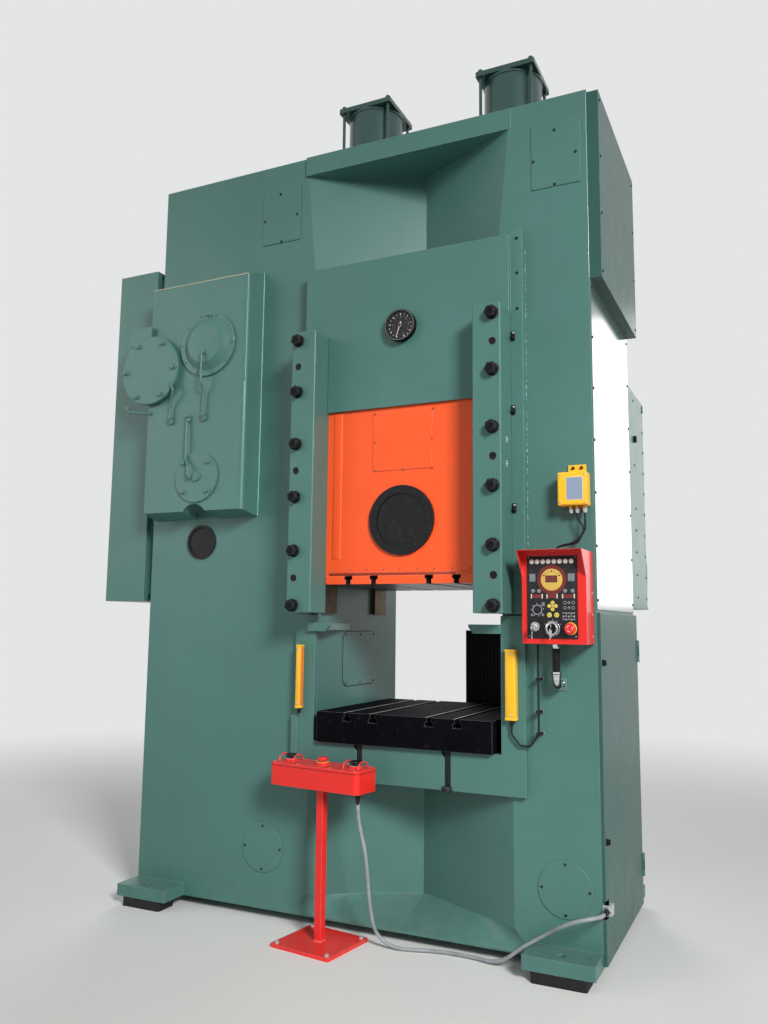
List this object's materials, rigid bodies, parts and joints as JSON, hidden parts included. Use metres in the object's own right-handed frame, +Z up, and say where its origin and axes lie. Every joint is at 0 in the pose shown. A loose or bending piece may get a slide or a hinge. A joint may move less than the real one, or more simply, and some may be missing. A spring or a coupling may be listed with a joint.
{
  "type": "knuckle-joint press",
  "caption": "Straight-sided knuckle-joint press with an open die space, gibbed ram, drive gearbox and flywheel guard on one column, control box and separate two-hand stand.",
  "frame": {"origin": "centre of the four anchor holes, at floor level", "axes": "+X to the right of a person facing the press, +Y from the front to the back, +Z up"},
  "size_m": [3.035, 1.8847, 4.701],
  "materials": {
    "green_paint": "gloss enamel",
    "orange_paint": "gloss enamel",
    "red_paint": "gloss enamel",
    "yellow_paint": "gloss enamel",
    "cream_paint": "satin",
    "bare_steel": "ground",
    "cast_iron": "as cast",
    "blackened_steel": "oiled black",
    "bronze": "machined",
    "chrome": "bright",
    "black_plastic": "satin",
    "grey_plastic": "satin",
    "black_rubber": "matt",
    "red_plastic": "gloss",
    "grey_sheath": "satin"
  },
  "bodies": {
    "press": {"frame": "green_paint", "levelling_pads": "black_rubber", "front_apron": "green_paint", "bolster": "blackened_steel", "left_gib": "green_paint", "right_gib": "green_paint", "gib_bolts": "blackened_steel", "guide_liners": "bronze", "slide_top_cover": "green_paint", "gauge_case": "black_plastic", "access_covers": "green_paint", "rear_cover": "green_paint", "column_plug": "black_plastic", "gearbox_housing": "green_paint", "flywheel_shaft_cover": "green_paint", "crankshaft_cover": "green_paint", "oil_pump_cover": "green_paint", "lubrication_pipes": "green_paint", "flywheel_guard": "green_paint", "drive_motor": "cast_iron", "drive_belt": "black_rubber", "side_covers": "green_paint", "cabinet_plate": "grey_plastic", "rear_guard": "green_paint", "control_box": "red_paint", "control_panel": "black_plastic", "box_conduit": "chrome", "amplifier_box": "yellow_paint", "light_curtains": "yellow_paint", "sensor_cables": "black_rubber", "pendant_stand": "red_paint", "pendant_console": "red_paint", "pendant_conduit": "grey_sheath", "conduit_gland": "chrome", "balance_cylinders": "green_paint", "upper_pin": "bare_steel"},
    "ram": {"slide": "orange_paint", "ram_cover": "orange_paint", "ram_port_cover": "black_plastic", "balance_rods": "chrome"},
    "upper_link": {"upper_link": "cast_iron", "knuckle_pin": "bare_steel"},
    "lower_link": {"lower_link": "cast_iron"},
    "connecting_rod": {"connecting_rod": "cast_iron", "crank_pin": "bare_steel"},
    "crankshaft": {"crankshaft": "bare_steel", "main_gear": "cast_iron"},
    "pinion_shaft": {"pinion_shaft": "bare_steel"},
    "flywheel": {"flywheel": "cast_iron"},
    "motor_pulley": {"motor_pulley": "bare_steel"},
    "gauge_pointer": {"gauge_pointer": "cream_paint"},
    "side_door": {"side_door": "green_paint"},
    "upper_latch": {"upper_latch": "black_plastic"},
    "lower_latch": {"lower_latch": "black_plastic"},
    "key_switch": {"key_switch": "chrome"},
    "mode_selector": {"mode_selector": "grey_plastic"},
    "emergency_stop": {"emergency_stop": "red_plastic"},
    "left_palm_button": {"left_palm_button": "black_plastic"},
    "right_palm_button": {"right_palm_button": "black_plastic"},
    "pendant_stop_button": {"pendant_stop_button": "red_plastic"}
  },
  "joints": [
    {"name": "press_stroke", "type": "slide", "parent": "press", "child": "ram", "axis": [0, 0, 1], "range_m": [-0.12, 0]},
    {"name": "upper_link_swing", "type": "hinge", "parent": "press", "child": "upper_link", "pos_m": [0.345, -0.07, 3.23], "axis": [0, 1, 0], "range_deg": [-33, 0]},
    {"name": "lower_link_swing", "type": "hinge", "parent": "upper_link", "child": "lower_link", "pos_m": [0.14006, -0.07, 2.91], "axis": [0, 1, 0], "range_deg": [0, 66]},
    {"name": "connecting_rod_swing", "type": "hinge", "parent": "upper_link", "child": "connecting_rod", "pos_m": [0.14006, -0.07, 2.91], "axis": [0, 1, 0], "range_deg": [0, 35]},
    {"name": "crankshaft_turn", "type": "hinge", "parent": "press", "child": "crankshaft", "pos_m": [-0.84268, -0.3, 3.13176], "axis": [0, 1, 0], "range_deg": [0, 182]},
    {"name": "pinion_shaft_turn", "type": "hinge", "parent": "press", "child": "pinion_shaft", "pos_m": [-1.236, -0.3, 3.016], "axis": [0, 1, 0], "range_deg": [-750, 0]},
    {"name": "flywheel_turn", "type": "hinge", "parent": "press", "child": "flywheel", "pos_m": [-1.236, 0.12, 3.016], "axis": [0, 1, 0], "continuous": true},
    {"name": "motor_pulley_turn", "type": "hinge", "parent": "press", "child": "motor_pulley", "pos_m": [-1.01, 0.185, 2.075], "axis": [0, 1, 0], "continuous": true},
    {"name": "gauge_pointer_turn", "type": "hinge", "parent": "press", "child": "gauge_pointer", "pos_m": [0.345, -0.604, 3.094], "axis": [0, 1, 0], "range_deg": [0, 320]},
    {"name": "side_door_swing", "type": "hinge", "parent": "press", "child": "side_door", "pos_m": [1.33, 0.508, 0.835], "axis": [0, 0, 1], "range_deg": [0, 110]},
    {"name": "upper_latch_turn", "type": "hinge", "parent": "side_door", "child": "upper_latch", "pos_m": [1.328, -0.47, 1.38], "axis": [1, 0, 0], "range_deg": [0, 90]},
    {"name": "lower_latch_turn", "type": "hinge", "parent": "side_door", "child": "lower_latch", "pos_m": [1.328, -0.47, 0.584], "axis": [1, 0, 0], "range_deg": [0, 90]},
    {"name": "key_switch_turn", "type": "hinge", "parent": "press", "child": "key_switch", "pos_m": [1.062, -0.67, 1.543], "axis": [0, 1, 0], "range_deg": [-90, 0]},
    {"name": "mode_selector_turn", "type": "hinge", "parent": "press", "child": "mode_selector", "pos_m": [1.143, -0.67, 1.535], "axis": [0, 1, 0], "range_deg": [-60, 60]},
    {"name": "emergency_stop_press", "type": "slide", "parent": "press", "child": "emergency_stop", "axis": [0, 1, 0], "range_m": [0, 0.006], "stiffness_N_per_m": 800},
    {"name": "left_palm_button_press", "type": "slide", "parent": "press", "child": "left_palm_button", "axis": [0, 0, -1], "range_m": [0, 0.006], "stiffness_N_per_m": 600, "springref_m": -0.002},
    {"name": "pendant_stop_button_press", "type": "slide", "parent": "press", "child": "pendant_stop_button", "axis": [0, 0, -1], "range_m": [0, 0.006], "stiffness_N_per_m": 600, "springref_m": -0.002},
    {"name": "right_palm_button_press", "type": "slide", "parent": "press", "child": "right_palm_button", "axis": [0, 0, -1], "range_m": [0, 0.006], "stiffness_N_per_m": 600, "springref_m": -0.002}
  ],
  "couplings": [
    {"joint": "upper_link_swing", "follows": "press_stroke", "rad_per_m": 4.7468},
    {"joint": "lower_link_swing", "follows": "press_stroke", "rad_per_m": -9.4937},
    {"joint": "connecting_rod_swing", "follows": "press_stroke", "rad_per_m": -4.8384},
    {"joint": "crankshaft_turn", "follows": "press_stroke", "rad_per_m": -26.272},
    {"joint": "pinion_shaft_turn", "follows": "press_stroke", "rad_per_m": 108.37},
    {"joint": "motor_pulley_turn", "follows": "flywheel_turn", "ratio": 3.7333}
  ]
}
